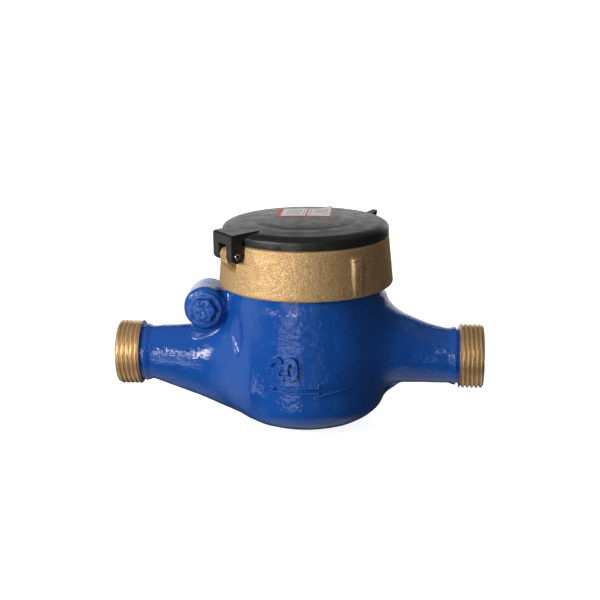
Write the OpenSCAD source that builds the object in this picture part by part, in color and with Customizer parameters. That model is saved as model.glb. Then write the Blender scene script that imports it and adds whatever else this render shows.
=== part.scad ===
// Multi-jet water meter for a threaded pipe line, with a hinged lid over a pointer register.
// Millimetres. +X is the flow direction, +Z is up, the origin is the middle of the foot.

/* [Pipe ends] */
// Bowl axis to the inlet end face
inlet_reach = 98.5; // [94:0.5:125]
// Bowl axis to the outlet end face
outlet_reach = 91.5; // [88:0.5:120]
// Pipe axis above the foot
axis_h = 34.5; // [33:0.5:37]
// Pipe thread outside diameter
thread_d = 33.25; // [32:0.05:42]
// Pipe thread pitch
thread_pitch = 2.309; // [1.8:0.001:2.6]
// Pipe thread depth
thread_depth = 1.479; // [0.9:0.001:1.6]
// Threaded length of each end
thread_len = 12.5; // [9:0.5:15]
// Outside diameter of the necks beside the threads
neck_d = 28; // [26:0.5:29]
// Water bore of both ends
bore_d = 20; // [15:0.5:20]
// Mouth of the inlet in front of the strainer, diameter
mouth_d = 22; // [21.5:0.5:23]
// Depth of the mouth from the inlet end face
mouth_l = 8; // [6:0.5:10]

/* [Bowl] */
// Largest bowl diameter
bowl_d = 82; // [78:0.5:96]
// Foot diameter
foot_d = 28; // [20:1:36]
// Height of the rounded bottom
bowl_round = 17; // [12:0.5:22]
// Top of the body rim above the foot
rim_h = 79.5; // [79:0.5:84]
// Rim diameter under the head ring
rim_d = 79; // [78:0.1:80]
// Inside diameter of the upper space
upper_d = 70; // [66:0.5:71]
// Opening in the shelf that carries the measuring chamber
shelf_d = 52; // [51:0.5:56]
// Height of the shelf top above the foot
shelf_h = 32; // [30:0.5:33]

/* [Regulator] */
// Height of the regulator boss axis above the pipe axis
boss_rise = 28; // [25:0.5:29]
// Outside diameter of the regulator boss
boss_d = 22; // [20:0.5:24]
// Bowl axis to the regulator boss axis, against the flow
boss_x = 51; // [49:0.5:54]
// Pipe axis to the front face of the boss
boss_front = 15; // [13:0.5:18]

/* [Head ring] */
// Height of the head ring
ring_h = 24.9; // [22:0.1:25.5]
// Ring diameter at the bottom edge
ring_d_low = 89.2; // [86:0.1:100]
// Ring diameter at the top edge
ring_d_top = 84.8; // [82:0.1:96]
// Opening of the ring lip over the glass
lip_d = 67; // [60:0.5:70]

/* [Lid and hinge] */
// Lid diameter
lid_d = 84.6; // [80:0.1:86]
// Lid height at the inner end of the shoulder
lid_h = 6.2; // [5:0.1:8]
// Straight height of the lid side under the shoulder
lid_side = 3.2; // [2.6:0.1:4]
// Width of the rounded shoulder
lid_round = 6; // [4:0.5:9]
// Rise of the lid crown over the shoulder
lid_crown = 2; // [0.4:0.1:3]
// Wall of the lid shell
lid_t = 2.2; // [1.6:0.1:2.6]
// Direction of the hinge round the bowl axis, degrees
hinge_az = 218; // [205:0.5:225]
// Bowl axis to the hinge pin
pin_reach = 45.8; // [45.2:0.1:47]
// Hinge pin below the ring top
pin_drop = 4.5; // [4.3:0.1:6]
// Hinge pin diameter
pin_d = 3; // [2:0.1:3.2]
// Width of the hinge block
hinge_w = 17.5; // [14:0.5:20]
// Width of the ring lug between the cheeks
lug_w = 6.8; // [5:0.1:8]
// Direction of the thumb tab round the bowl axis, degrees
tab_az = 40; // [30:0.5:50]
// Turn of the lid about its pin, degrees, for a look at the open lid
lid_turn = 0; // [0:1:110]

/* [Measuring chamber] */
// Outside diameter of the chamber
chamber_d = 45; // [42:0.5:46]
// Chamber wall
chamber_wall = 2; // [1.6:0.1:2.5]
// Number of slots in each row
slots = 10; // [6:1:12]
// Number of impeller vanes
vanes = 7; // [5:1:9]
// Gap between a vane tip and the chamber wall
vane_gap = 1; // [0.8:0.1:2]

/* [Register] */
// Distance between neighbouring arbors
mesh_d = 8.75; // [8.5:0.05:9]
// Bowl axis to each pointer
pointer_r = 22; // [21.5:0.1:23]
// Direction of the first pointer, degrees
dial_start = -40; // [-60:1:0]
// Arbor diameter
arbor_d = 1; // [0.8:0.1:1.2]
// Length of each pointer
pointer_l = 5.6; // [4:0.1:6.5]

/* [Clearances] */
// Radial running clearance of the pins and arbors
run_gap = 0.05; // [0.03:0.01:0.1]
// Gap between the closed lid and the ring
lid_gap = 0.2; // [0.1:0.05:0.6]
// Radial gap of pieces that drop into a bore
drop_gap = 0.3; // [0.1:0.05:0.5]
// Side gap of the ring lug between the cheeks
cheek_gap = 0.25; // [0.15:0.05:0.5]

/* [Hidden] */
$fn = 96;
thread_r = thread_d / 2;
root_r = thread_r - thread_depth;
ridges = floor(thread_len / thread_pitch);
neck_r = neck_d / 2;
bore_r = bore_d / 2;
strainer_r = (bore_r + mouth_d / 2) / 2;
strainer_t = 1.4;
bowl_r = bowl_d / 2;
rim_r = rim_d / 2;
collar_l = thread_len + 4;
collar_r = min(root_r, neck_r + 1.3);
in_s0 = -inlet_reach + 18;
out_s0 = outlet_reach - 15;
neck_lift = 0.4;
floor_h = 5.5;
shelf_t = 4;
lower_r = 33;
seat_h = rim_h - 4.6;
seat_r = rim_r - 2;
plate_r = seat_r - drop_gap;
seal_t = 0.8;
plate_z = seat_h + seal_t;
boss_z = axis_h + boss_rise;
screw_r = 4;
plug_r = screw_r + 2.5;
plug_l = 3.6;
can_t = 1.2;
can_r = rim_r - 2.3;
can_h = 12.8;
gasket_t = 0.6;
glass_z = rim_h + can_h + gasket_t;
ring_z = rim_h - 5.5;
ring_top = ring_z + ring_h;
lip_z = glass_z + 3.6;
ring_bore_r = can_r + 0.4;
pin_r = pin_d / 2;
pin_z = ring_top - pin_drop;
lid_z = ring_top + lid_gap;
lid_r = lid_d / 2;
ear_r = 3.5;
plate_top = lid_z + lid_h;
tab_w = 7;
groove_h = 0.15;
notch_w = lug_w + 2 * cheek_gap;
lug_r = 3.4;
rib_az = -51;
rib_r = ring_d_low / 2 + 0.4;
cham_r = chamber_d / 2;
cham_in = cham_r - chamber_wall;
flange_z = shelf_h + seal_t;
flange_r = shelf_d / 2 + 3.5;
cham_z = 9;
cham_top = cham_z + 53;
cup_r = shelf_d / 2 - 0.6;
cup_t = 0.8;
cup_space = 2.1;
low_r = cup_r - cup_t - cup_space;
low_in = low_r - chamber_wall;
slot_h = 9;
vane_z = cham_z + 7;
vane_h = cham_top - vane_z - 8;
pivot_r = 1;
shaft_r = 1.5;
mod = 2 * mesh_d / 35;
arbor_r = arbor_d / 2;
half_step = 20;
idler_r = pointer_r * cos(half_step) - sqrt(pow(mesh_d, 2) - pow(pointer_r * sin(half_step), 2));
apex = acos(idler_r / 2 / mesh_d);
train_z = rim_h + can_t;
train_t = 1;
dial_z = rim_h + 8.6;
dial_t = 0.8;
gear_z = train_z + train_t + 0.3;
level_h = (dial_z - gear_z - 0.1) / 4;
gear_t = level_h - 0.4;

// Places a piece along the pipe axis, its own +Z running inwards from an end face
module from_inlet() translate([-inlet_reach, 0, axis_h]) rotate([0, 90, 0]) children();
module from_outlet() translate([outlet_reach, 0, axis_h]) rotate([0, -90, 0]) children();

// Places a piece at the regulator boss, its own +Z running in from the front face
module at_boss() translate([-boss_x, -boss_front, boss_z]) rotate([-90, 0, 0]) children();

// Places a piece at the hinge, its own +X pointing out and its own Y along the pin
module at_hinge() rotate([0, 0, hinge_az]) children();
module along_pin(w) translate([pin_reach, w / 2, pin_z]) rotate([90, 0, 0]) children();

// One end with thread ridges, a run-out groove and the flared shoulder behind it
module spigot() rotate_extrude() polygon(concat(
    [[0, 0], [root_r - 0.5, 0], [root_r, 0.5]],
    [for (i = [0:ridges - 1], q = [[0, 0.1], [thread_depth, 0.4], [thread_depth, 0.62], [0, 0.92]])
        [root_r + q[0], 0.6 + (i + q[1]) * thread_pitch]],
    [[root_r - 0.5, thread_len + 0.7], [root_r - 0.5, thread_len + 1.3], [collar_r, thread_len + 1.5],
     [collar_r, collar_l - 1.4], [neck_r + 0.6, collar_l], [neck_r - 1.5, collar_l + 1.2],
     [0, collar_l + 1.2]]));

// A neck lofted through ellipses, each given as [x, centre height, half width, half height]
module loft(st, n = 44) {
    m = len(st);
    pts = [for (s = st, i = [0:n - 1]) let(t = 360 * i / n)
        [s[0], s[2] * cos(t), axis_h + s[1] + s[3] * sin(t)]];
    sides = [for (k = [0:m - 2], i = [0:n - 1]) let(j = (i + 1) % n, a = k * n)
        each [[a + i, a + n + i, a + n + j], [a + i, a + n + j, a + j]]];
    polyhedron(pts, concat([[for (i = [0:n - 1]) i]], sides,
        [[for (i = [n - 1:-1:0]) (m - 1) * n + i]]));
}

// The inlet neck widens and drops towards the bottom of the bowl, and stays above the foot
function in_station(x) = let(s = max(0, (x - in_s0) / (-26 - in_s0)), mid = -9 * pow(s, 1.1),
    tall = neck_r + 12.3 * s, low = max(mid - tall, neck_lift - axis_h), high = mid + tall)
    [x, (high + low) / 2, neck_r + 3 * s + 14.2 * pow(min(1, s), 3.4), (high - low) / 2];
module inlet_neck() loft(concat([in_station(-inlet_reach + 13)],
    [for (i = [0:11]) in_station(in_s0 + (-22 - in_s0) * i / 11)]));

// The outlet neck keeps its underside level and sweeps up to the bowl at the top
function out_station(x) = let(s = max(0, (out_s0 - x) / (out_s0 - 32)))
    [x, 9.6 * pow(s, 1.5), neck_r + 12 * pow(s, 2.3), neck_r + 9.6 * pow(s, 1.5)];
module outlet_neck() mirror([1, 0, 0]) loft([for (i = [0:13]) let(
    x = i == 0 ? outlet_reach - 13 : out_s0 - (out_s0 - 26) * (i - 1) / 12, o = out_station(x))
    [-o[0], o[1], o[2], o[3]]]);

// Bowl of revolution from the flat foot to the rim under the head ring
module bowl() rotate_extrude() polygon(concat(
    [[0, 0]],
    [for (i = [0:10]) let(s = i / 10, h = 1 - pow(1 - s, 1.5))
        [foot_d / 2 + (bowl_r - foot_d / 2) * pow(1 - pow(1 - h, 2.4), 1 / 1.7), bowl_round * h]],
    [[bowl_r - 0.6, rim_h - 15], [rim_r, rim_h - 10], [rim_r, rim_h - 0.6], [rim_r - 0.6, rim_h],
     [0, rim_h]]));

// Painted casting: bowl, two necks with threaded ends, regulator boss and the web under the outlet
module body() color("royalblue") difference() {
    union() {
        bowl();
        inlet_neck();
        outlet_neck();
        from_inlet() spigot();
        from_outlet() spigot();
        at_boss() translate([0, 0, 1.2]) cylinder(d = boss_d, h = boss_front + 6);
        at_boss() cylinder(d1 = boss_d - 2.4, d2 = boss_d, h = 1.2);
        translate([-boss_x - 7, -boss_front + 4, axis_h + 6]) cube([14, boss_front + 2, boss_rise - 6]);
        translate([-boss_x, -boss_front + 4, axis_h + 6])
            cube([boss_x - 34, boss_front, boss_rise - 6 + boss_d / 2 - 3]);
        translate([0, 3, axis_h]) rotate([90, 0, 0]) linear_extrude(6)
            polygon([[30, -8], [bowl_r + 10, -neck_r + 1], [bowl_r + 1, -20], [30, -22]]);
    }
    rotate_extrude() polygon([[0, floor_h], [24, floor_h], [lower_r, 13], [lower_r, shelf_h - shelf_t],
        [shelf_d / 2, shelf_h - shelf_t], [shelf_d / 2, shelf_h], [upper_d / 2, shelf_h],
        [upper_d / 2, seat_h], [seat_r, seat_h], [seat_r, rim_h + 1], [0, rim_h + 1]]);
    from_inlet() translate([0, 0, -1]) cylinder(r = bore_r, h = inlet_reach - 69);
    from_inlet() translate([0, 0, -1]) cylinder(d = mouth_d, h = mouth_l + 1);
    from_inlet() translate([0, 0, mouth_l - 1]) cylinder(r = strainer_r + 0.1, h = 1 + strainer_t);
    translate([-72, 0, axis_h]) rotate([0, 114, 0]) cylinder(r = bore_r, h = 47);
    from_outlet() translate([0, 0, -1]) cylinder(r = bore_r, h = outlet_reach - 66);
    translate([69, 0, axis_h]) rotate([0, -71, 0]) cylinder(r = bore_r - 0.2, h = 44);
    at_boss() translate([0, 0, -1]) cylinder(r = screw_r + run_gap, h = boss_front - 1.5);
    at_boss() translate([0, 0, -1]) cylinder(r = plug_r + run_gap, h = plug_l + seal_t + 1);
    at_boss() cylinder(r = 2.4, h = boss_front + 2);
    translate([-boss_x, 0, axis_h - 6]) cylinder(r = 2.2, h = boss_rise + 6);
    translate([-boss_x, 0, boss_z]) rotate([0, 90, 0]) cylinder(r = 2.3, h = boss_x - 30);
}

// Sand-cast ring that clamps the register: cone outside, lip over the glass, hinge lug and wrench rib
module head_ring() color("goldenrod") difference() {
    union() {
        rotate_extrude() polygon([[rim_r + 0.1, ring_z], [ring_d_low / 2 - 0.8, ring_z],
            [ring_d_low / 2, ring_z + 0.8], [ring_d_top / 2, ring_top - 0.8],
            [ring_d_top / 2 - 0.8, ring_top], [lip_d / 2, ring_top], [lip_d / 2, lip_z],
            [ring_bore_r, lip_z], [ring_bore_r, rim_h], [rim_r + 0.1, rim_h]]);
        at_hinge() along_pin(lug_w) cylinder(r = lug_r, h = lug_w);
        at_hinge() translate([0, lug_w / 2, 0]) rotate([90, 0, 0]) linear_extrude(lug_w)
            polygon([[ring_d_top / 2 - 3, pin_z + lug_r - 0.3], [pin_reach, pin_z + lug_r - 0.3],
                [pin_reach + lug_r - 0.2, pin_z], [pin_reach + lug_r - 0.4, pin_z - 4],
                [ring_d_top / 2 + 0.4, pin_z - 10], [ring_d_top / 2 - 3, pin_z - 10]]);
        rotate([0, 0, rib_az]) translate([ring_d_low / 2 - 4, 0, ring_z + 1])
            linear_extrude(ring_h - 6.2)
            polygon([[0, -3], [rib_r - ring_d_low / 2 + 3.4, -3], [rib_r - ring_d_low / 2 + 4, -2.2],
                [rib_r - ring_d_low / 2 + 4, 2.2], [rib_r - ring_d_low / 2 + 3.4, 3], [0, 3]]);
    }
    rotate([0, 0, rib_az]) translate([0, 5, 0]) rotate([90, 0, 0]) linear_extrude(10)
        polygon([[rib_r - 2, ring_top - 5.6], [rib_r + 4, ring_top - 5.6], [rib_r + 4, ring_top - 11.6]]);
    for (s = [-1, 1]) at_hinge() translate([0, s * (hinge_w / 2 + lug_w / 2) / 2, 0])
        along_pin(hinge_w / 2 - lug_w / 2 + 0.8)
            cylinder(r = ear_r + 0.4, h = hinge_w / 2 - lug_w / 2 + 0.8);
    at_hinge() along_pin(lug_w + 2) cylinder(r = pin_r + run_gap, h = lug_w + 2);
}

// Lid shell of revolution: straight side, rounded shoulder, low crown with a shallow groove
function crown_z(r) = lid_z + lid_h + lid_crown * (1 - pow(r / (lid_r - lid_round), 2));
module lid_shell() rotate_extrude() polygon(concat(
    [[0, crown_z(0) - lid_t], [18, crown_z(18) - lid_t], [lid_r - lid_round, lid_z + lid_h - lid_t],
     [lid_r - 3.6, lid_z + lid_side], [lid_r - 2, lid_z + 1.6], [lid_r - 2, lid_z], [lid_r, lid_z]],
    [for (a = [0:10:90])
        [lid_r - lid_round * (1 - cos(a)), lid_z + lid_side + (lid_h - lid_side) * sin(a)]],
    [for (r = [32, 27, 26.7, 26.3, 26, 20, 14, 7, 0])
        [r, crown_z(r) - (abs(r - 26.5) < 0.4 ? groove_h : 0)]]));

// Thumb tab: a beak that narrows to its tip
module thumb_tab() rotate([0, 0, tab_az]) intersection() {
    translate([0, tab_w / 2, 0]) rotate([90, 0, 0]) linear_extrude(tab_w)
        polygon([[lid_r - 3, lid_z], [lid_r + 0.8, lid_z], [lid_r + 3.4, lid_z + lid_h - 1],
            [lid_r + 3.2, lid_z + lid_h + 0.2], [lid_r, lid_z + lid_h - 0.8],
            [lid_r - 3, lid_z + lid_h - 1.2]]);
    translate([0, 0, lid_z - 1]) linear_extrude(lid_h + 4)
        polygon([[lid_r - 4, -tab_w / 2], [lid_r + 4, -1.3], [lid_r + 4, 1.3], [lid_r - 4, tab_w / 2]]);
}

// Lid with its hinge block, which climbs a little to the crown, and its ears
module lid_closed() difference() {
    union() {
        lid_shell();
        at_hinge() translate([0, hinge_w / 2, 0]) rotate([90, 0, 0]) linear_extrude(hinge_w)
            polygon([[lid_r - 9, lid_z + lid_h - 1], [lid_r - 9, plate_top + 0.7],
                [pin_reach + 2.6, plate_top], [pin_reach + ear_r - 0.1, plate_top - 0.9],
                [pin_reach + ear_r - 0.1, pin_z], [ring_d_top / 2 + 0.6, pin_z],
                [ring_d_top / 2 + 0.6, lid_z + 1.8], [lid_r - 2.6, lid_z + 1.8]]);
        at_hinge() along_pin(hinge_w) cylinder(r = ear_r, h = hinge_w);
        thumb_tab();
    }
    at_hinge() translate([ring_d_top / 2 - 3, -notch_w / 2, pin_z - ear_r - 1])
        cube([12, notch_w, lid_z + 1 - pin_z + ear_r + 1]);
    at_hinge() along_pin(hinge_w + 2) cylinder(r = pin_r, h = hinge_w + 2);
}
module lid() color("dimgray") rotate([0, 0, hinge_az]) translate([pin_reach, 0, pin_z])
    rotate([0, lid_turn, 0]) translate([-pin_reach, 0, -pin_z]) rotate([0, 0, -hinge_az]) lid_closed();

// Steel pin pressed into both cheeks
module hinge_pin() color("silver") at_hinge() along_pin(hinge_w + 0.6)
    cylinder(r = pin_r, h = hinge_w + 0.6);

// Needle screw that sets the bypass flow, with a driver slot
module regulator_screw() color("gold") at_boss() translate([0, 0, plug_l + seal_t + 0.4]) difference() {
    rotate_extrude() polygon([[0, 0], [screw_r, 0], [screw_r, 6], [2.1, 7.4],
        [1.2, boss_front - plug_l - 2.6], [0, boss_front - plug_l - 2.2]]);
    translate([-0.6, -screw_r - 1, -1]) cube([1.2, 2 * screw_r + 2, 2.2]);
}

// Plug over the screw, six-sided for a spanner, on its own seal inside the boss
module regulator_cap() color("royalblue") at_boss() {
    translate([0, 0, -1.6]) cylinder(d = boss_d - 3.4, h = 1.6);
    translate([0, 0, -4.4]) cylinder(d = boss_d - 9, h = 3.4, $fn = 6);
    translate([0, 0, -0.5]) cylinder(r = plug_r, h = plug_l + 0.5);
}
module regulator_seal() color("black") at_boss() flat_ring(plug_r, screw_r + 0.3, plug_l, seal_t);

// Slotted basket in the inlet recess
module inlet_strainer() color("ivory") from_inlet()
    translate([0, 0, mouth_l + strainer_t]) difference() {
    rotate_extrude() polygon([[0, 15], [5, 15], [bore_r - 0.4, 0.4], [bore_r - 0.4, 0],
        [strainer_r, 0], [strainer_r, -strainer_t], [bore_r - 1.6, -strainer_t], [4, 13.8], [0, 13.8]]);
    for (i = [0:7]) rotate([0, 0, 45 * i]) translate([3.4, -0.8, 2.5]) cube([8, 1.6, 9]);
    for (i = [-1:1]) translate([-2.6, 2 * i - 0.4, 13]) cube([5.2, 0.8, 3]);
}

// Flat rings that seal the chamber flange and the pressure plate
module flat_ring(ro, ri, z, t) translate([0, 0, z]) difference() {
    cylinder(r = ro, h = t);
    translate([0, 0, -1]) cylinder(r = ri, h = t + 2);
}
module chamber_gasket() color("black") flat_ring(flange_r, shelf_d / 2 + 0.3, shelf_h, seal_t);
module pressure_seal() color("black") flat_ring(plate_r, upper_d / 2 + 0.3, seat_h, seal_t);
module glass_gasket() color("black") flat_ring(can_r, can_r - 2.4, rim_h + can_h, gasket_t);

// Slotted cup round the lower half of the chamber
module chamber_strainer() color("ivory") difference() {
    rotate_extrude() polygon([[0, cham_z - 0.8], [cup_r - 1.4, cham_z - 0.8], [cup_r, cham_z + 0.6],
        [cup_r, flange_z], [cup_r - cup_t, flange_z], [cup_r - cup_t, cham_z + 1],
        [cup_r - cup_t - 1, cham_z],
        [0, cham_z]]);
    for (i = [0:17]) rotate([0, 0, 20 * i]) translate([cup_r - 3.4, -1, cham_z + 3])
        cube([6, 2, flange_z - cham_z - 9.8]);
}

// Moulded chamber: pivot floor, lower row of inlet slots inside the cup, flange, upper row of outlet slots
module measuring_chamber() color("white") difference() {
    rotate_extrude() polygon([[0, cham_z], [low_r, cham_z], [low_r, flange_z], [flange_r, flange_z],
        [flange_r, flange_z + 2.2], [cham_r, flange_z + 2.2], [cham_r, cham_top], [cham_in, cham_top],
        [cham_in, flange_z + 2.2], [low_in, flange_z], [low_in, cham_z + 2], [4, cham_z + 2],
        [3, cham_z + 4], [0, cham_z + 4]]);
    for (i = [0:slots - 1], row = [[low_in, cham_z + 6], [cham_in, cham_top - 17]])
        rotate([0, 0, 360 / slots * i]) translate([8, row[0] - 5.2, row[1]]) cube([16, 3, slot_h]);
    translate([0, 0, cham_z + 1]) cylinder(r = pivot_r, h = 5);
}

// Cover with the top bearing, held down by the pressure plate
module chamber_cover() color("white") difference() {
    rotate_extrude() polygon([[shaft_r + run_gap, cham_top - 3], [4, cham_top - 3], [4, cham_top - 1],
        [cham_in - 0.2, cham_top - 1], [cham_in - 0.2, cham_top], [cham_r + 1.5, cham_top],
        [cham_r + 1.5, plate_z], [cham_r - 0.5, plate_z], [cham_r - 0.5, cham_top + 2],
        [shaft_r + run_gap, cham_top + 2]]);
    for (i = [0:5]) rotate([0, 0, 60 * i]) translate([15, -3, cham_top + 4])
        cube([15, 6, plate_z - cham_top - 6]);
}

// Vane wheel on a steel pivot, with its shaft and the magnet that drives the register
module impeller_pivot() color("silver") translate([0, 0, cham_z + 1])
    cylinder(r = pivot_r, h = vane_z + 2.4 - cham_z);
module impeller() color("white") difference() {
    union() {
        translate([0, 0, vane_z - 2]) cylinder(r = 4, h = vane_h + 4);
        for (i = [0:vanes - 1]) rotate([0, 0, 360 / vanes * i]) translate([0, 0.6, 0])
            rotate([90, 0, 0]) linear_extrude(1.2) polygon([[3, vane_z], [low_in - vane_gap, vane_z],
                [low_in - vane_gap, flange_z - 1], [cham_in - vane_gap, flange_z + 3.2],
                [cham_in - vane_gap, vane_z + vane_h], [3, vane_z + vane_h]]);
    }
    translate([0, 0, vane_z - 3]) cylinder(r = pivot_r + run_gap, h = 6.5);
    translate([0, 0, vane_z + 6]) cylinder(r = shaft_r, h = vane_h + 2);
}
module impeller_shaft() color("silver") translate([0, 0, vane_z + 6])
    cylinder(r = shaft_r, h = plate_z - vane_z - 5);
module drive_magnet() color("dimgray") translate([0, 0, plate_z - 4]) difference() {
    cylinder(r = 7.5, h = 5.2);
    translate([0, 0, -1]) cylinder(r = shaft_r, h = 8);
}

// Plate that keeps the water out of the register, thinned over the magnet
module pressure_plate() color("goldenrod") difference() {
    translate([0, 0, plate_z]) cylinder(r = plate_r, h = rim_h - plate_z);
    translate([0, 0, plate_z - 1]) cylinder(r = 8.4, h = 3);
}

// Register can with the train plate, its pillars and the dial
module register_can() color("peru") difference() {
    rotate_extrude() polygon([[0, rim_h], [can_r, rim_h], [can_r, rim_h + can_h],
        [can_r - can_t, rim_h + can_h], [can_r - can_t, train_z], [0, train_z]]);
    translate([0, 0, train_z - 0.6]) cylinder(r = arbor_r + run_gap, h = 2);
}
module pillar_places() for (a = [20, 140, 260]) rotate([0, 0, a]) translate([32.6, 0, 0]) children();
module train_plate() color("gold") difference() {
    translate([0, 0, train_z]) cylinder(r = can_r - can_t - 0.2, h = train_t);
    translate([0, 0, train_z - 1]) cylinder(r = 6.6, h = 3);
    for (n = [1:17]) translate(concat(arbor_at(n), train_z - 1)) cylinder(r = arbor_r + run_gap, h = 3);
}
module train_pillars() color("silver") pillar_places() translate([0, 0, train_z + train_t])
    cylinder(r = 1.5, h = dial_z - train_z - train_t);
module dial_plate() color("white") difference() {
    translate([0, 0, dial_z]) cylinder(r = can_r - can_t - 0.2, h = dial_t);
    for (n = [0:17]) translate(concat(arbor_at(n), dial_z - 1))
        cylinder(r = arbor_r + run_gap, h = n % 2 == 0 ? 1.5 : 3);
}
module register_glass() color("lightblue", 0.4) translate([0, 0, glass_z]) difference() {
    cylinder(r = can_r, h = lip_z - glass_z);
    translate([0, 0, lip_z - glass_z - 0.5]) difference() {
        cylinder(r = can_r + 1, h = 1);
        translate([0, 0, -1]) cylinder(r = lip_d / 2 + 3, h = 3);
    }
}

// Gear train: arbor 0 is on the axis, arbor 1 carries the star, then idlers and pointers take turns
function polar(r, a) = [r * cos(a), r * sin(a)];
function arbor_at(n) = n == 0 ? [0, 0]
    : n == 1 ? polar(mesh_d, dial_start - half_step - apex)
    : n % 2 == 0 ? polar(idler_r, dial_start + half_step * (n - 3))
    : polar(pointer_r, dial_start + half_step * (n - 3));
function heading(n) = let(d = arbor_at(n + 1) - arbor_at(n)) atan2(d[1], d[0]);
function wheel_z(n) = n % 2 == 0 ? 28 : 25;
function pinion_z(n) = n % 2 == 0 ? 10 : 7;
function level(n) = gear_z + level_h * (n == 0 ? 3 : n % 3);

// Spur gear with slim teeth, one of them pointing along the given direction
module gear(z, a) {
    p = mod * z / 2;
    lo = p - 1.15 * mod;
    hi = p + 0.8 * mod;
    tooth = [[lo, -0.62], [p, -0.5], [hi, -0.26], [hi, 0.26], [p, 0.5], [lo, 0.62]];
    linear_extrude(gear_t) polygon([for (i = [0:z - 1], q = tooth)
        let(t = a + 360 * i / z + q[1] * mod * 57.3 / q[0]) [q[0] * cos(t), q[0] * sin(t)]]);
}
module train_arbor(n, top) translate(concat(arbor_at(n), 0)) {
    base = train_z + (n == 0 ? -0.5 : 0.1);
    translate([0, 0, base]) cylinder(r = arbor_r, h = top - base, $fn = 32);
    if (n > 0) translate([0, 0, level(n - 1)]) gear(wheel_z(n), heading(n - 1) + 180 + 180 / wheel_z(n));
    if (n < 17) translate([0, 0, level(n)]) gear(pinion_z(n), heading(n));
}
module driven_magnet() color("dimgray") translate([0, 0, train_z + 0.15]) difference() {
    cylinder(r = 6, h = 1);
    translate([0, 0, -1]) cylinder(r = arbor_r, h = 3);
}
module magnet_arbor() color("gold") train_arbor(0, dial_z + 0.4);
module star_arbor() color("gold") train_arbor(1, dial_z + dial_t + 1);
module flow_star() color("firebrick")
    translate(concat(arbor_at(1), dial_z + dial_t + 0.3)) difference() {
    linear_extrude(0.5) polygon([for (i = [0:11]) polar(i % 2 == 0 ? 4 : 1.9, 30 * i)]);
    translate([0, 0, -1]) cylinder(r = arbor_r, h = 3, $fn = 32);
}
module idler(k) color("khaki") train_arbor(2 * k, dial_z + 0.4);
module pointer_arbor(k) color("gold") train_arbor(2 * k + 1, dial_z + dial_t + 1);
module pointer(k) color(k > 4 ? "black" : "firebrick")
    translate(concat(arbor_at(2 * k + 1), dial_z + dial_t + 0.3)) difference() {
        union() {
            cylinder(r = 1.3, h = 0.8);
            rotate([0, 0, 90]) linear_extrude(0.4)
                polygon([[-2.4, -0.5], [2, -0.7], [pointer_l, 0], [2, 0.7], [-2.4, 0.5]]);
        }
        translate([0, 0, -1]) cylinder(r = arbor_r, h = 3, $fn = 32);
    }

body();
head_ring();
lid();
hinge_pin();
regulator_screw();
regulator_cap();
regulator_seal();
inlet_strainer();
chamber_gasket();
chamber_strainer();
measuring_chamber();
chamber_cover();
impeller_pivot();
impeller();
impeller_shaft();
drive_magnet();
pressure_seal();
pressure_plate();
register_can();
train_plate();
train_pillars();
dial_plate();
glass_gasket();
register_glass();
driven_magnet();
magnet_arbor();
star_arbor();
flow_star();
for (k = [1:8]) idler(k);
for (k = [1:8]) pointer_arbor(k);
for (k = [1:8]) pointer(k);
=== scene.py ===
"""Looks of a multi-jet water meter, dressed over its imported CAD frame: metres, +X along the flow, +Z up."""
import math

import bpy
from mathutils import Matrix, Vector


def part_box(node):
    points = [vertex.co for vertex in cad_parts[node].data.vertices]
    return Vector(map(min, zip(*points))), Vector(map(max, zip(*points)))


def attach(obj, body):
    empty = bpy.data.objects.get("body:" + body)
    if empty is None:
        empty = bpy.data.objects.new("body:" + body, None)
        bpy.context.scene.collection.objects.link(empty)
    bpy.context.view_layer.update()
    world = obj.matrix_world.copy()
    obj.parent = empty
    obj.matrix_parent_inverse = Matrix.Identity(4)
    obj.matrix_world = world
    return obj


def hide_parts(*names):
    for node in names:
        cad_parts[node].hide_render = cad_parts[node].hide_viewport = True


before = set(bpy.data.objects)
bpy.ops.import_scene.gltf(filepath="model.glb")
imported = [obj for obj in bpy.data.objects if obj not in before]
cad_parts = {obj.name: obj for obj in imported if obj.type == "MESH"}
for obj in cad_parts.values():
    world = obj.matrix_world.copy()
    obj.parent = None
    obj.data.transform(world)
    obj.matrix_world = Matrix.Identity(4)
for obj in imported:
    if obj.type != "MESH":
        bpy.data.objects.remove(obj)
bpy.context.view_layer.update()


# Body casting
# One sand casting of brass holds the bowl, both necks and the regulator boss. It is dipped in thick gloss
# blue paint, and the pipe threads are cut after that, so they and their end faces are bare metal.
MM = 0.001
INLET_X, OUTLET_X = (corner[0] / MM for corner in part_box("body"))
PIPE_Z = sum(corner[2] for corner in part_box("inlet_strainer")) / 2 / MM


def only(piece):
    """Makes one object the whole selection and the active one."""
    bpy.ops.object.select_all(action="DESELECT")
    piece.select_set(True)
    bpy.context.view_layer.objects.active = piece


def worked(piece, kind, **settings):
    """Adds a modifier with these settings to a piece and applies it."""
    only(piece)
    modifier = piece.modifiers.new(kind.lower(), kind)
    for setting, value in settings.items():
        setattr(modifier, setting, value)
    bpy.ops.object.modifier_apply(modifier=modifier.name)


def node_copy(node, name):
    """Copies a CAD node's mesh to a new piece, with its loose triangles merged."""
    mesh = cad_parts[node].data.copy()
    mesh.materials.clear()
    piece = bpy.data.objects.new(name, mesh)
    bpy.context.scene.collection.objects.link(piece)
    only(piece)
    bpy.ops.mesh.customdata_custom_splitnormals_clear()
    bpy.ops.object.mode_set(mode="EDIT")
    bpy.ops.mesh.select_all(action="SELECT")
    bpy.ops.mesh.remove_doubles(threshold=0.002 * MM)
    bpy.ops.object.mode_set(mode="OBJECT")
    return piece


def ramp(x, low, high):
    """0 at low, 1 at high, smooth between them."""
    t = min(1.0, max(0.0, (x - low) / (high - low)))
    return t * t * (3 - 2 * t)


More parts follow.
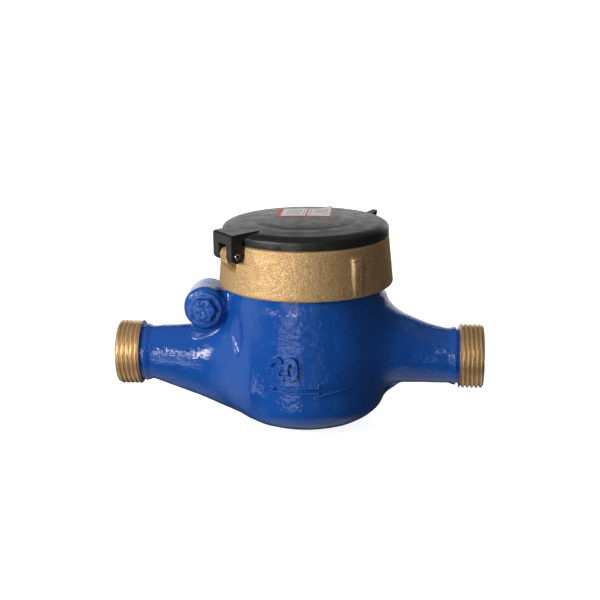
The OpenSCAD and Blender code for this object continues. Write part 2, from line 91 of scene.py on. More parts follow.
def weigh(piece, group, share):
    """Fills a vertex group by a function of each vertex's place in millimetres."""
    made = piece.vertex_groups.new(name=group)
    for v in piece.data.vertices:
        made.add([v.index], share(v.co / MM), "REPLACE")


def lumps(piece, size, height, group=""):
    """Raises and sinks a surface in soft lumps of this size and height in millimetres."""
    clouds = bpy.data.textures.new(piece.name + "_lumps", "CLOUDS")
    clouds.noise_scale = size * MM
    worked(piece, "DISPLACE", texture=clouds, texture_coords="LOCAL", strength=height * MM,
           mid_level=0.5, vertex_group=group)


def smooth_shaded(piece, angle=35):
    """Smooth shading with edges sharper than the angle kept crisp."""
    only(piece)
    bpy.ops.object.shade_smooth_by_angle(angle=math.radians(angle))


def place(tree, kind, inputs=(), **settings):
    """Adds a shader node. An input given another node's socket is linked, and any other value is set."""
    made = tree.nodes.new("ShaderNode" + kind)
    for setting, value in settings.items():
        setattr(made, setting, value)
    for socket, value in dict(inputs).items():
        if isinstance(value, bpy.types.NodeSocket):
            tree.links.new(value, made.inputs[socket])
        else:
            made.inputs[socket].default_value = value
    return made


def math_node(tree, operation, a, b, clamp=False):
    return place(tree, "Math", {0: a, 1: b}, operation=operation, use_clamp=clamp).outputs[0]


def mix_colour(tree, share, a, b):
    return place(tree, "Mix", {0: share, 6: a, 7: b}, data_type="RGBA").outputs[2]


def surface_group():
    """Flecks, broad patches and rubbed edges that every finish here shows in its own amounts."""
    tree = bpy.data.node_groups.new("worked_surface", "ShaderNodeTree")
    for label, grey in (("Colour", 0.5), ("Deep", 0.2), ("Edge", 0.8)):
        taken = tree.interface.new_socket(label, in_out="INPUT", socket_type="NodeSocketColor")
        taken.default_value = (grey, grey, grey, 1)
    for label, value in (("Grain", 500), ("Fleck", 0.5), ("Patch", 0.3), ("Rub", 0.0), ("Rough", 0.4),
                         ("Spread", 0.1)):
        tree.interface.new_socket(label, in_out="INPUT", socket_type="NodeSocketFloat").default_value = value
    for label, kind in (("Colour", "Color"), ("Rough", "Float"), ("Height", "Float")):
        tree.interface.new_socket(label, in_out="OUTPUT", socket_type="NodeSocket" + kind)
    given = tree.nodes.new("NodeGroupInput").outputs
    where = place(tree, "TexCoord").outputs["Object"]
    fine = place(tree, "TexNoise", {"Vector": where, "Scale": given["Grain"], "Detail": 4.0}).outputs["Fac"]
    broad_scale = math_node(tree, "MULTIPLY", given["Grain"], 0.13)
    broad = place(tree, "TexNoise", {"Vector": where, "Scale": broad_scale, "Detail": 2.0}).outputs["Fac"]
    fine_mask = place(tree, "MapRange", {0: fine, 1: 0.36, 2: 0.64}).outputs[0]
    broad_mask = place(tree, "MapRange", {0: broad, 1: 0.38, 2: 0.62}).outputs[0]
    flecked = math_node(tree, "MULTIPLY", fine_mask, given["Fleck"])
    patched = math_node(tree, "MULTIPLY", broad_mask, given["Patch"])
    deep_share = math_node(tree, "ADD", flecked, patched, clamp=True)
    colour = mix_colour(tree, deep_share, given["Colour"], given["Deep"])
    bent = place(tree, "NewGeometry").outputs["Pointiness"]
    edge_mask = place(tree, "MapRange", {0: bent, 1: 0.515, 2: 0.57}).outputs[0]
    rubbed = math_node(tree, "MULTIPLY", math_node(tree, "MULTIPLY", edge_mask, given["Rub"]), fine_mask)
    colour = mix_colour(tree, rubbed, colour, given["Edge"])
    swing = math_node(tree, "MULTIPLY", math_node(tree, "SUBTRACT", broad_mask, 0.5), given["Spread"])
    rough = math_node(tree, "ADD", given["Rough"], swing, clamp=True)
    height = math_node(tree, "ADD", fine, math_node(tree, "MULTIPLY", broad, 1.5))
    put_out = tree.nodes.new("NodeGroupOutput").inputs
    for label, value in (("Colour", colour), ("Rough", rough), ("Height", height)):
        tree.links.new(value, put_out[label])
    return tree


worked_surface = surface_group()


def finish(name, surface, relief, **shader_values):
    """A material on the worked surface: the group's values, its relief in millimetres, shader sockets."""
    made = bpy.data.materials.new(name)
    made.use_nodes = True
    tree = made.node_tree
    shader = tree.nodes["Principled BSDF"]
    group = place(tree, "Group", node_tree=worked_surface)
    for label, value in surface.items():
        group.inputs[label].default_value = (*value, 1) if isinstance(value, tuple) else value
    tree.links.new(group.outputs["Colour"], shader.inputs["Base Color"])
    tree.links.new(group.outputs["Rough"], shader.inputs["Roughness"])
    bump = place(tree, "Bump", {"Height": group.outputs["Height"], "Distance": relief * MM})
    tree.links.new(bump.outputs["Normal"], shader.inputs["Normal"])
    for label, value in shader_values.items():
        shader.inputs[label.replace("_", " ")].default_value = value
    return made


blue_paint = finish("blue_paint", {
    "Colour": (0.010, 0.093, 0.42), "Deep": (0.006, 0.068, 0.35), "Edge": (0.03, 0.15, 0.50),
    "Grain": 480.0, "Fleck": 0.12, "Patch": 0.2, "Rub": 0.3, "Rough": 0.06, "Spread": 0.03}, 0.30, IOR=1.5)
thread_brass = finish("thread_brass", {
    "Colour": (0.84, 0.61, 0.33), "Deep": (0.50, 0.32, 0.14), "Edge": (0.97, 0.82, 0.54),
    "Grain": 900.0, "Fleck": 0.35, "Patch": 0.25, "Rub": 0.8, "Rough": 0.42, "Spread": 0.16},
    0.02, Metallic=0.75)

RIM_LOW, RIM_HIGH = 68.0, 72.0
casting = node_copy("body", "body_casting")
worked(casting, "REMESH", mode="VOXEL", voxel_size=1.0 * MM)
weigh(casting, "blends", lambda p: ramp(abs(p.x), 25, 33) * ramp(abs(p.x), 68, 54)
      * ramp(p.z, RIM_HIGH + 1, RIM_LOW - 1) * ramp(p.z, 2, 8))
weigh(casting, "skin", lambda p: ramp(p.z, 0.6, 4) * ramp(p.z, RIM_HIGH, RIM_LOW))
worked(casting, "SMOOTH", factor=0.5, iterations=5)

# Sand fillets fill the corners between the bowl and its two necks, and leave the bowl's middle, foot and rim
BOWL_R, BOWL_ROUND, FOOT_R, RISE_POWER, WIDE_POWER = 41.0, 17.0, 14.0, 2.4, 1.7
NECK_R, NECK_LIFT = 14.0, 0.4
INLET_FROM, INLET_TO, INLET_DROP, INLET_GROW = INLET_X + 18, -26.0, 9.0, 12.3
OUTLET_FROM, OUTLET_TO, OUTLET_SWEEP = OUTLET_X - 15, 32.0, 19.2
FILLET_IN, FILLET_OUT = 15.0, 9.0
MIDDLE_IN, MIDDLE_OUT, NECKS_END, SKIN_DEEP = 14.0, 28.0, 72.0, 2.5
PROBE = 0.2
PROBES = [Vector(side) * PROBE for side in ((1, 0, 0), (0, 1, 0), (0, 0, 1))]


def off_bowl(p):
    """How far a place is outside the bowl's wall."""
    rise = min(1.0, max(0.0, p.z / BOWL_ROUND))
    swell = (1 - (1 - rise) ** RISE_POWER) ** (1 / WIDE_POWER)
    return math.hypot(p.x, p.y) - FOOT_R - (BOWL_R - FOOT_R) * swell


def off_neck(p):
    """How far a place is outside the neck on its side, an ellipse that grows towards the bowl."""
    if p.x < 0:
        s = min(1.0, max(0.0, (p.x - INLET_FROM) / (INLET_TO - INLET_FROM)))
        drop, tall = -INLET_DROP * s ** 1.1, NECK_R + INLET_GROW * s
        low, high = max(drop - tall, NECK_LIFT - PIPE_Z), drop + tall
        wide = NECK_R + 3 * s + 14.2 * s ** 3.4
    else:
        s = max(0.0, (OUTLET_FROM - p.x) / (OUTLET_FROM - OUTLET_TO))
        low, high = -NECK_R, NECK_R + OUTLET_SWEEP * s ** 1.5
        wide = NECK_R + 12 * s ** 2.3
    up = p.z - PIPE_Z - (high + low) / 2
    reach = math.hypot(p.y / wide, up / ((high - low) / 2))
    return (reach - 1) * math.hypot(p.y, up) / max(reach, 0.01)


def off_filleted(p):
    """How far a place is outside the filled bowl and neck, and how near it is to their corner."""
    wide = (FILLET_IN if p.x < 0 else FILLET_OUT) * (0.2 + 0.8 * ramp(p.z, 6, 26))
    bowl_d, neck_d = off_bowl(p), off_neck(p)
    near = max(0.0, 1 - abs(bowl_d - neck_d) / wide)
    return min(bowl_d, neck_d) - wide / 4 * near * near, near


def onto_fillet(p):
    """The nearest place on the filleted surface, found in a few steps down its slope."""
    for step in range(4):
        here = off_filleted(p)[0]
        slope = Vector([off_filleted(p + side)[0] - here for side in PROBES]) / PROBE
        p = p - slope * here / max(0.2, slope.length_squared)
    return p


for v in casting.data.vertices:
    p = v.co / MM
    beside = MIDDLE_IN < abs(p.x) < NECKS_END and 1 < p.z < RIM_HIGH
    if beside and min(off_bowl(p), off_neck(p)) > -SKIN_DEEP:
        outside, near = off_filleted(p)
        share = (ramp(near, 0, 0.35) * ramp(p.z, 1, 6) * ramp(p.z, RIM_HIGH, RIM_LOW)
                 * ramp(abs(p.x), MIDDLE_IN, MIDDLE_OUT))
        if share > 0 and outside < 0.8:
            v.co = p.lerp(onto_fillet(p), share) * MM
worked(casting, "SMOOTH", factor=0.5, iterations=12, vertex_group="blends")
lumps(casting, 11, 0.45, "skin")
lumps(casting, 3.2, 0.14, "skin")

# The sand left a hollow where the inlet neck runs into the bowl
HOLLOW_X, HOLLOW_Z, HOLLOW_W, HOLLOW_H, HOLLOW_DEEP = -33.3, PIPE_Z + 17, 3.6, 9.8, 1.5
for v, inward in [(v, -v.normal) for v in casting.data.vertices]:
    p = v.co / MM
    half = HOLLOW_W * (1 - ((p.z - HOLLOW_Z) / HOLLOW_H) ** 2)
    if p.y < -12 and half > 0.1 and abs(p.x - HOLLOW_X) < half:
        v.co += inward * HOLLOW_DEEP * MM * (1 - ((p.x - HOLLOW_X) / half) ** 2)

# The necks are cut off behind the threads, and each end is a piece of its own
END_L, PAINT_FROM = 14.2, 12.3
only(casting)
bpy.ops.object.mode_set(mode="EDIT")
for face_x, inward in ((INLET_X, 1), (OUTLET_X, -1)):
    bpy.ops.mesh.select_all(action="SELECT")
    bpy.ops.mesh.bisect(plane_co=((face_x + inward * END_L) * MM, 0, 0), plane_no=(-inward, 0, 0),
                        clear_outer=True)
    bpy.ops.mesh.bridge_edge_loops()
bpy.ops.object.mode_set(mode="OBJECT")
casting.data.materials.append(blue_paint)
smooth_shaded(casting, 50)


def threaded_end(name, face_x, inward, bore):
    """One pipe end with a right-hand thread: a closed tube whose outside is cut by the helix."""
    pitch, root, depth, flank, flat, groove = 2.309, 15.4, 1.225, 1.6, 0.12, 14.1
    lead_r, lead_slope = 15.5, 1.25
    turn_steps, cut_steps, cut_step = 112, 60, 0.21
    cut_line = [(i * cut_step, None) for i in range(cut_steps)]
    line = bore + cut_line + [(12.75, groove), (13.4, groove), (END_L, groove)]
    bpy.ops.object.select_all(action="DESELECT")
    bpy.ops.mesh.primitive_torus_add(major_segments=turn_steps, minor_segments=len(line))
    end = bpy.context.object
    end.name = name
    for v in end.data.vertices:
        step, (d, r) = v.index // len(line), line[v.index % len(line)]
        turn = step / turn_steps
        x = face_x + inward * d
        if r is None:
            wave = 1 - abs((x / pitch - turn) % 1.0 - 0.5) * 2
            cut = min(1.0, max(0.0, flank * wave - flat))
            r = min(root + depth * cut, lead_r + lead_slope * d)
        a = 2 * math.pi * turn
        v.co = Vector((x, r * math.cos(a), PIPE_Z + r * math.sin(a))) * MM
    only(end)
    bpy.ops.object.mode_set(mode="EDIT")
    bpy.ops.mesh.select_all(action="SELECT")
    bpy.ops.mesh.normals_make_consistent(inside=False)
    bpy.ops.object.mode_set(mode="OBJECT")
    end.data.materials.append(thread_brass)
    end.data.materials.append(blue_paint)
    for face in end.data.polygons:
        back = (face.center.x / MM - face_x) * inward
        if back > PAINT_FROM and math.hypot(face.center.y, face.center.z - PIPE_Z * MM) > 12 * MM:
            face.material_index = 1
    smooth_shaded(end, 40)
    return end


inlet_end = threaded_end("inlet_end", INLET_X, 1, [
    (END_L, 10.0), (9.4, 10.0), (9.4, 10.6), (8.0, 10.6), (8.0, 11.0), (0.5, 11.0), (0.0, 11.5)])
outlet_end = threaded_end("outlet_end", OUTLET_X, -1, [
    (END_L, 10.0), (7.0, 10.0), (0.5, 10.0), (0.0, 10.5)])
only(casting)
inlet_end.select_set(True)
outlet_end.select_set(True)
bpy.ops.object.join()
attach(casting, "housing")
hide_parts("body")


# Cast marks
# A plain size number and a flow arrow stand proud on the front of the bowl. They are cut in the casting
# pattern, so the paint runs over them and rounds their edges.
BOWL_TAPER = 0.6 / 48


def on_bowl(piece):
    """Wraps a flat mark, drawn in millimetres as across, up and out, round the front of the bowl."""
    for v in piece.data.vertices:
        across, up, out = v.co
        radius = BOWL_R - BOWL_TAPER * (up - BOWL_ROUND)
        a = across / radius
        v.co = Vector(((radius + out) * math.sin(a), -(radius + out) * math.cos(a), up)) * MM


def cast_over(piece):
    """Rounds a mark as paint does, wraps it on the bowl and paints it."""
    worked(piece, "REMESH", mode="VOXEL", voxel_size=0.24)
    worked(piece, "SMOOTH", factor=0.5, iterations=4)
    on_bowl(piece)
    piece.data.materials.append(blue_paint)
    smooth_shaded(piece, 60)
    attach(piece, "housing")


bpy.ops.object.select_all(action="DESELECT")
bpy.ops.object.text_add()
size_mark = bpy.context.object
size_mark.name = "size_mark"
size_mark.data.body = "20"
size_mark.data.size = 16
size_mark.data.extrude = 1.6
size_mark.data.offset = 0.85
bpy.ops.object.convert(target="MESH")
MARK_LEFT, MARK_RIGHT, MARK_LOW, MARK_HIGH = -15.9, -1.2, PIPE_Z - 1.8, PIPE_Z + 10.9
xs = [v.co.x for v in size_mark.data.vertices]
ys = [v.co.y for v in size_mark.data.vertices]
for v in size_mark.data.vertices:
    v.co.x = MARK_LEFT + (v.co.x - min(xs)) / (max(xs) - min(xs)) * (MARK_RIGHT - MARK_LEFT)
    v.co.y = MARK_LOW + (v.co.y - min(ys)) / (max(ys) - min(ys)) * (MARK_HIGH - MARK_LOW)
cast_over(size_mark)

ARROW = [(-15.2, -4.5), (-6, -5.4), (8.6, -4.8), (8.6, -3.0), (24.0, -6.6),
         (8.6, -9.0), (8.6, -7.6), (-6, -7.8), (-15.2, -7.0), (-13.8, -5.8)]
ARROW_OUT = 0.35
line = bpy.data.curves.new("flow_arrow", "CURVE")
line.dimensions = "3D"
line.bevel_depth = 1.0
line.bevel_resolution = 3
outline = line.splines.new("POLY")
outline.points.add(len(ARROW) - 1)
for point, (across, up) in zip(outline.points, ARROW):
    point.co = (across, PIPE_Z + up, ARROW_OUT, 1)
outline.use_cyclic_u = True
flow_arrow = bpy.data.objects.new("flow_arrow", line)
bpy.context.scene.collection.objects.link(flow_arrow)
only(flow_arrow)
bpy.ops.object.convert(target="MESH")
cast_over(flow_arrow)


# Regulator plug
# A six-sided plug seals the by-pass screw in its boss. It went through the paint bath with the casting.
plug = node_copy("regulator_cap", "regulator_plug")
worked(plug, "REMESH", mode="VOXEL", voxel_size=0.4 * MM)
worked(plug, "SMOOTH", factor=0.5, iterations=5)
weigh(plug, "skin", lambda p: ramp(p.y, -15.2, -15.8))
lumps(plug, 3.0, 0.35, "skin")
plug.data.materials.append(blue_paint)
smooth_shaded(plug, 50)
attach(plug, "housing")
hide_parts("regulator_cap")


# Measuring gear in the bowl
# Strainers, chamber and vane wheel are moulded plastic. The pivot and the shaft are ground steel, the seals
# are black rubber, the magnets are sintered, and the screw and the pressure plate are turned brass.
def dress(finish_used, *nodes):
    """Gives CAD nodes their finish."""
    for node in nodes:
        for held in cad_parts[node].material_slots:
            held.material = finish_used


strainer_plastic = finish("strainer_plastic", {
    "Colour": (0.75, 0.71, 0.58), "Deep": (0.62, 0.56, 0.42), "Edge": (0.85, 0.82, 0.72),
    "Grain": 700.0, "Fleck": 0.2, "Patch": 0.3, "Rough": 0.45, "Spread": 0.1}, 0.02)
chamber_plastic = finish("chamber_plastic", {
    "Colour": (0.80, 0.80, 0.77), "Deep": (0.68, 0.68, 0.64), "Edge": (0.9, 0.9, 0.88),
    "Grain": 700.0, "Fleck": 0.15, "Patch": 0.25, "Rough": 0.4, "Spread": 0.1}, 0.02)
seal_rubber = finish("seal_rubber", {
    "Colour": (0.022, 0.022, 0.023), "Deep": (0.012, 0.012, 0.012), "Edge": (0.06, 0.06, 0.06),
    "Grain": 1200.0, "Fleck": 0.5, "Patch": 0.2, "Rough": 0.75, "Spread": 0.1}, 0.03)
ground_steel = finish("ground_steel", {
    "Colour": (0.62, 0.62, 0.63), "Deep": (0.42, 0.42, 0.43), "Edge": (0.8, 0.8, 0.8),
    "Grain": 1500.0, "Fleck": 0.3, "Patch": 0.3, "Rough": 0.25, "Spread": 0.1}, 0.01, Metallic=1.0)
magnet_grey = finish("magnet_grey", {
    "Colour": (0.10, 0.10, 0.105), "Deep": (0.05, 0.05, 0.05), "Edge": (0.2, 0.2, 0.2),
    "Grain": 1500.0, "Fleck": 0.6, "Patch": 0.3, "Rough": 0.6, "Spread": 0.1}, 0.03, Metallic=0.6)
turned_brass = finish("turned_brass", {
    "Colour": (0.78, 0.55, 0.24), "Deep": (0.55, 0.36, 0.14), "Edge": (0.9, 0.74, 0.42),
    "Grain": 800.0, "Fleck": 0.3, "Patch": 0.3, "Rough": 0.25, "Spread": 0.12}, 0.01, Metallic=1.0)
dress(strainer_plastic, "inlet_strainer", "chamber_strainer")
dress(chamber_plastic, "measuring_chamber", "chamber_cover", "impeller")
dress(seal_rubber, "regulator_seal", "chamber_gasket", "pressure_seal", "glass_gasket")
dress(ground_steel, "impeller_pivot", "impeller_shaft", "train_pillars")
dress(magnet_grey, "drive_magnet", "driven_magnet")
dress(turned_brass, "regulator_screw", "pressure_plate", "train_plate")


# Register
# A drawn copper can holds the gear train under a white printed dial. Wheels are tan mouldings, and the
# pointers are red for parts of a cubic metre and black for whole ones.
POINTER_R, POINTER_STEP, FIRST_POINTER = 22.0, 40.0, -40.0
DIAL_TOP, PRINT_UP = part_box("dial_plate")[1][2] / MM, 0.02
SCALE_R, SCALE_LINE, TICK_R, TICK_L, TICK_W = 5.2, 0.2, 4.8, 0.9, 0.3
NUMBER_R, NUMBER_SIZE, MULTIPLIER_R, MULTIPLIER_SIZE = 6.4, 2.0, 1.405, 2.1
BORDER_R, UNIT_SIZE, UNIT_Y = 34.6, 6.5, 3.0
drawn_copper = finish("drawn_copper", {
    "Colour": (0.66, 0.36, 0.20), "Deep": (0.42, 0.20, 0.10), "Edge": (0.85, 0.55, 0.36),
    "Grain": 500.0, "Fleck": 0.3, "Patch": 0.4, "Rough": 0.3, "Spread": 0.12}, 0.01, Metallic=1.0)
gear_plastic = finish("gear_plastic", {
    "Colour": (0.72, 0.62, 0.42), "Deep": (0.58, 0.47, 0.28), "Edge": (0.82, 0.74, 0.55),
    "Grain": 900.0, "Fleck": 0.2, "Patch": 0.2, "Rough": 0.42, "Spread": 0.1}, 0.01)
dial_white = finish("dial_white", {
    "Colour": (0.84, 0.84, 0.81), "Deep": (0.77, 0.76, 0.71), "Edge": (0.9, 0.9, 0.88),
    "Grain": 300.0, "Fleck": 0.1, "Patch": 0.25, "Rough": 0.38, "Spread": 0.08}, 0.004)
pointer_red = finish("pointer_red", {
    "Colour": (0.62, 0.025, 0.020), "Deep": (0.48, 0.015, 0.012), "Edge": (0.75, 0.1, 0.08),
    "Grain": 900.0, "Fleck": 0.2, "Patch": 0.2, "Rough": 0.3, "Spread": 0.1}, 0.006)
pointer_black = finish("pointer_black", {
    "Colour": (0.020, 0.020, 0.022), "Deep": (0.010, 0.010, 0.011), "Edge": (0.06, 0.06, 0.06),
    "Grain": 900.0, "Fleck": 0.2, "Patch": 0.2, "Rough": 0.3, "Spread": 0.1}, 0.006)
dress(drawn_copper, "register_can")
dress(gear_plastic, "magnet_arbor", "star_arbor",
      *[part + str(k) for part in ("idler_", "arbor_") for k in range(1, 9)])
dress(dial_white, "dial_plate")
dress(pointer_red, "flow_star", *["pointer_" + str(k) for k in range(1, 5)])
dress(pointer_black, *["pointer_" + str(k) for k in range(5, 9)])


def printed(words, size, x, y):
    """Printed words as a thin mesh, centred at a place on the dial in millimetres."""
    bpy.ops.object.select_all(action="DESELECT")
    bpy.ops.object.text_add(location=(x * MM, y * MM, (DIAL_TOP + PRINT_UP) * MM))
    made = bpy.context.object
    made.data.body = words
    made.data.size = size * MM
    made.data.align_x, made.data.align_y = "CENTER", "CENTER"
    made.data.extrude = PRINT_UP * MM
    made.data.offset = 0.04 * size * MM
    bpy.ops.object.convert(target="MESH")
    return made


def tick(x, y, angle, long, wide):
    """One printed scale line: a thin bar pointing along the angle."""
    bpy.ops.object.select_all(action="DESELECT")
    bpy.ops.mesh.primitive_cube_add(size=1, location=(x * MM, y * MM, (DIAL_TOP + PRINT_UP) * MM),
                                    rotation=(0, 0, angle), scale=(long * MM, wide * MM, 2 * PRINT_UP * MM))
    return bpy.context.object


def circle_line(x, y, radius, wide):
    """A printed circle as a thin flat ring."""
    bpy.ops.object.select_all(action="DESELECT")
    bpy.ops.mesh.primitive_torus_add(location=(x * MM, y * MM, (DIAL_TOP + PRINT_UP) * MM), major_segments=72,
                                     minor_segments=4, major_radius=radius * MM, minor_radius=wide * MM)
    made = bpy.context.object
    for v in made.data.vertices:
        v.co.z *= PRINT_UP / wide
    return made


def print_piece(name, parts, finish_used):
    """Joins printed parts to one piece on the housing, with its place in its mesh."""
    only(parts[0])
    for part in parts:
        part.select_set(True)
    bpy.ops.object.join()
    made = bpy.context.object
    made.name = name
    bpy.ops.object.transform_apply(location=True, rotation=True, scale=True)
    made.data.materials.clear()
    made.data.materials.append(finish_used)
    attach(made, "housing")


def scale_round(k, multiplier):
    """The circle, ten ticks, ten numbers and the multiplier printed round one pointer."""
    a = math.radians(FIRST_POINTER + POINTER_STEP * (k - 1))
    x, y = POINTER_R * math.cos(a), POINTER_R * math.sin(a)
    parts = [circle_line(x, y, SCALE_R, SCALE_LINE)]
    for i in range(10):
        b = math.pi / 2 - 2 * math.pi * i / 10
        parts.append(tick(x + TICK_R * math.cos(b), y + TICK_R * math.sin(b), b, TICK_L, TICK_W))
        parts.append(printed(str(i), NUMBER_SIZE, x + NUMBER_R * math.cos(b), y + NUMBER_R * math.sin(b)))
    parts.append(printed(multiplier, MULTIPLIER_SIZE, x * MULTIPLIER_R, y * MULTIPLIER_R))
    return parts


fractions = ["x0.0001", "x0.001", "x0.01", "x0.1"]
wholes = ["x1", "x10", "x100", "x1000"]
print_piece("dial_print_red", [p for k in range(1, 5) for p in scale_round(k, fractions[k - 1])],
            pointer_red)
print_piece("dial_print_black", [p for k in range(5, 9) for p in scale_round(k, wholes[k - 5])]
            + [circle_line(0, 0, BORDER_R, SCALE_LINE), printed("m\u00b3", UNIT_SIZE, 0, UNIT_Y)],
            pointer_black)

# The register glass is a clear disc with faint smears. Part of the light goes straight through to the dial.
clear_glass = bpy.data.materials.new("clear_glass")
clear_glass.use_nodes = True
glass_tree = clear_glass.node_tree
glass_shader = glass_tree.nodes["Principled BSDF"]
glass_shader.inputs["Base Color"].default_value = (0.93, 0.97, 0.95, 1)
glass_shader.inputs["Transmission Weight"].default_value = 1.0
glass_shader.inputs["IOR"].default_value = 1.5
glass_shader.inputs["Alpha"].default_value = 0.15
on_glass = place(glass_tree, "TexCoord").outputs["Object"]
smears = place(glass_tree, "TexNoise", {"Vector": on_glass, "Scale": 60.0}).outputs["Fac"]
smeared = place(glass_tree, "MapRange", {0: smears, 3: 0.0, 4: 0.05}).outputs[0]
glass_tree.links.new(smeared, glass_shader.inputs["Roughness"])
dress(clear_glass, "register_glass")


# Head ring
# A sand-cast brass ring screws down on the body rim and holds the register. It is left as cast, with a
# coarse skin, a hinge lug at the front left and a rib for a wrench.
cast_brass = finish("cast_brass", {
    "Colour": (0.80, 0.54, 0.27), "Deep": (0.36, 0.20, 0.08), "Edge": (0.98, 0.80, 0.50),
    "Grain": 1600.0, "Fleck": 0.6, "Patch": 0.1, "Rub": 0.6, "Rough": 0.5, "Spread": 0.1},
    0.26, Metallic=0.5, Specular_Tint=(0.9, 0.62, 0.32, 1))
ring = node_copy("head_ring", "cast_head_ring")
worked(ring, "REMESH", mode="VOXEL", voxel_size=0.55 * MM)
worked(ring, "SMOOTH", factor=0.5, iterations=3)
weigh(ring, "skin", lambda p: ramp(math.hypot(p.x, p.y), 40.6, 41.6) * ramp(p.z, 98.6, 98.0))
lumps(ring, 1.6, 0.16, "skin")
ring.data.materials.append(cast_brass)
smooth_shaded(ring, 50)
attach(ring, "housing")
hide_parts("head_ring")


# Lid
# One black moulding: a low dome with a rolled rim, a hinge block with two ears and a small thumb horn. It
# turns on a hollow steel pin through the ring's lug, and a paper label is stuck on its crown.
lid_plastic = finish("lid_plastic", {
    "Colour": (0.012, 0.012, 0.011), "Deep": (0.008, 0.008, 0.008), "Edge": (0.05, 0.05, 0.048),
    "Grain": 1300.0, "Fleck": 0.4, "Patch": 0.3, "Rub": 0.4, "Rough": 0.38, "Spread": 0.08}, 0.04, IOR=1.5)
lid = node_copy("lid", "moulded_lid")
bpy.ops.object.mode_set(mode="EDIT")
bpy.ops.mesh.select_all(action="SELECT")
bpy.ops.mesh.dissolve_limited(angle_limit=math.radians(0.3))
bpy.ops.object.mode_set(mode="OBJECT")
worked(lid, "BEVEL", width=0.35 * MM, segments=3, limit_method="ANGLE", angle_limit=math.radians(32),
       use_clamp_overlap=True)
LID_TOP, CROWN_RISE, CROWN_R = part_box("lid")[1][2] / MM, 2.0, 36.3
GROOVE_IN, GROOVE_OUT, GROOVE_FILL = 25.0, 28.0, 0.75
PAPER_ROOM, ROOM_IN, ROOM_OUT = 0.1, 30.0, 36.0


def crown(x, y):
    """Height of the lid's crown over a place in millimetres, let in a little for the label."""
    reach = math.hypot(x, y)
    return LID_TOP - CROWN_RISE * (reach / CROWN_R) ** 2 - PAPER_ROOM * ramp(reach, ROOM_OUT, ROOM_IN)


for v in lid.data.vertices:
    reach = math.hypot(v.co.x, v.co.y) / MM
    sunk = crown(v.co.x / MM, v.co.y / MM) - v.co.z / MM
    if GROOVE_IN < reach < GROOVE_OUT and sunk < 1:
        v.co.z += sunk * GROOVE_FILL * MM
    elif reach < CROWN_R and -1.5 * PAPER_ROOM < sunk < 0:
        v.co.z += sunk * MM
lid.data.materials.append(lid_plastic)
smooth_shaded(lid, 32)
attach(lid, "lid")
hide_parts("lid")

pin_x, pin_y, PIN_Z = ((low + high) / 2 / MM for low, high in zip(*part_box("hinge_pin")))
HINGE_AZ, PIN_REACH, PIN_R, PIN_L = math.atan2(pin_y, pin_x), math.hypot(pin_x, pin_y), 1.5, 18.1
PIN_STEPS = 40
pin_line = [(-PIN_L / 2, 0.75), (-PIN_L / 2, 1.2), (-PIN_L / 2 + 0.3, PIN_R), (PIN_L / 2 - 0.3, PIN_R),
            (PIN_L / 2, 1.2), (PIN_L / 2, 0.75), (PIN_L / 2 - 0.4, 0.62), (-PIN_L / 2 + 0.4, 0.62)]
bpy.ops.object.select_all(action="DESELECT")
bpy.ops.mesh.primitive_torus_add(major_segments=PIN_STEPS, minor_segments=len(pin_line))
pin = bpy.context.object
pin.name = "hollow_hinge_pin"
out = Vector((math.cos(HINGE_AZ), math.sin(HINGE_AZ), 0))
along = Vector((-math.sin(HINGE_AZ), math.cos(HINGE_AZ), 0))
for v in pin.data.vertices:
    step, (d, r) = v.index // len(pin_line), pin_line[v.index % len(pin_line)]
    a = 2 * math.pi * step / PIN_STEPS
    v.co = (out * (PIN_REACH + r * math.cos(a)) + along * d + Vector((0, 0, PIN_Z + r * math.sin(a)))) * MM
only(pin)
bpy.ops.object.mode_set(mode="EDIT")
bpy.ops.mesh.select_all(action="SELECT")
bpy.ops.mesh.normals_make_consistent(inside=False)
bpy.ops.object.mode_set(mode="OBJECT")
pin.data.materials.append(ground_steel)
smooth_shaded(pin, 35)
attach(pin, "lid")
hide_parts("hinge_pin")

# The label lies on the crown, and its far corner curls up
LABEL_X, LABEL_Y, LABEL_W, LABEL_L, LABEL_UP, LABEL_T = -15.7, 2.0, 28.2, 27.0, 0.02, 0.06
LABEL_STEPS, CURL, CURL_FROM = 24, 1.5, 1.62
bpy.ops.object.select_all(action="DESELECT")
bpy.ops.mesh.primitive_grid_add(x_subdivisions=LABEL_STEPS, y_subdivisions=LABEL_STEPS, size=1,
                                calc_uvs=True)
label = bpy.context.object
label.name = "paper_label"
for v in label.data.vertices:
    u, w = v.co.x + 0.5, v.co.y + 0.5
    x, y = LABEL_X + LABEL_W * u, LABEL_Y + LABEL_L * w
    lift = CURL * ramp(u + w, CURL_FROM, 2.0) ** 1.5
    v.co = Vector((x - 0.5 * lift, y - 0.4 * lift, crown(x, y) + LABEL_UP + lift)) * MM
worked(label, "SOLIDIFY", thickness=LABEL_T * MM, offset=1)
paper = bpy.data.materials.new("label_paper")
paper.use_nodes = True
paper_tree = paper.node_tree
paper_shader = paper_tree.nodes["Principled BSDF"]
paper_shader.inputs["Roughness"].default_value = 0.5
uv = place(paper_tree, "SeparateXYZ", {0: place(paper_tree, "UVMap").outputs["UV"]})


def field(left, right, low, high):
    """1 inside a box on the label, 0 outside it."""
    inside = None
    for side, a, b in ((uv.outputs["X"], left, right), (uv.outputs["Y"], low, high)):
        above = math_node(paper_tree, "GREATER_THAN", side, a)
        below = math_node(paper_tree, "LESS_THAN", side, b)
        both = math_node(paper_tree, "MULTIPLY", above, below)
        inside = both if inside is None else math_node(paper_tree, "MULTIPLY", inside, both)
    return inside


